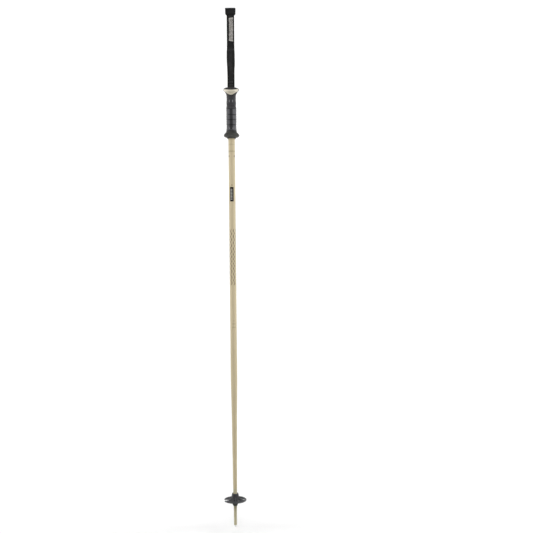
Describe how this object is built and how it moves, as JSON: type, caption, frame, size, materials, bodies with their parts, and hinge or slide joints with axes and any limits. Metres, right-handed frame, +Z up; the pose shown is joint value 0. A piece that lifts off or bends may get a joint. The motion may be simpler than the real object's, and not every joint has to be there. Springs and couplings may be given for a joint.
{
  "type": "ski pole",
  "caption": "Alpine ski pole with a tapered shaft, flared oval grip, upright wrist strap with a slider, a slotted round basket and a steel tip.",
  "frame": {"origin": "end of the steel tip, on the shaft's axis", "axes": "+Z up the shaft towards the grip and strap, -Y the front, where the badge is, +X to the right seen from the front"},
  "size_m": [0.0607, 0.0612, 1.4183],
  "materials": {
    "shaft": "satin",
    "ferrule": "satin",
    "steel_tip": "brushed",
    "basket": "satin",
    "basket_lock_ring": "satin",
    "grip_core": "matt",
    "grip_sleeve": "satin",
    "grip_spine": "matt",
    "hand_stop": "matt",
    "head_shell": "satin",
    "head_cap": "satin",
    "front_badge": "satin",
    "strap_anchor_pin": "brushed",
    "head_screw": "brushed",
    "strap_webbing": "woven",
    "stitching": "thread",
    "strap_print": "printed",
    "slider": "satin",
    "slider_rivets": "satin"
  },
  "bodies": {
    "pole": {"shaft": "shaft", "ferrule": "ferrule", "steel_tip": "steel_tip", "basket_lock_ring": "basket_lock_ring", "grip_core": "grip_core", "grip_sleeve": "grip_sleeve", "grip_spine": "grip_spine", "hand_stop": "hand_stop", "head_shell": "head_shell", "head_cap": "head_cap", "front_badge": "front_badge", "strap_anchor_pin": "strap_anchor_pin", "head_screw": "head_screw", "strap_root": "strap_webbing"},
    "basket": {"basket": "basket"},
    "strap_neck": {"strap_neck": "strap_webbing", "neck_bartacks": "stitching"},
    "strap_loop": {"strap_front_run": "strap_webbing", "strap_rear_run": "strap_webbing", "strap_print": "strap_print"},
    "slider": {"slider_front": "slider", "slider_rear": "slider", "slider_rivets": "slider_rivets"}
  },
  "joints": [
    {"name": "basket_turn", "type": "hinge", "parent": "pole", "child": "basket", "pos_m": [0, 0, 0.075], "axis": [0, 0, 1], "continuous": true},
    {"name": "strap_swing", "type": "hinge", "parent": "pole", "child": "strap_neck", "pos_m": [0, 0, 1.204], "axis": [1, 0, 0], "range_deg": [-90, 90]},
    {"name": "strap_drape", "type": "hinge", "parent": "strap_neck", "child": "strap_loop", "pos_m": [0, 0, 1.234], "axis": [1, 0, 0], "range_deg": [-60, 60]},
    {"name": "slider_slide", "type": "slide", "parent": "strap_loop", "child": "slider", "axis": [0, 0, -1], "range_m": [0, 0.055]}
  ]
}
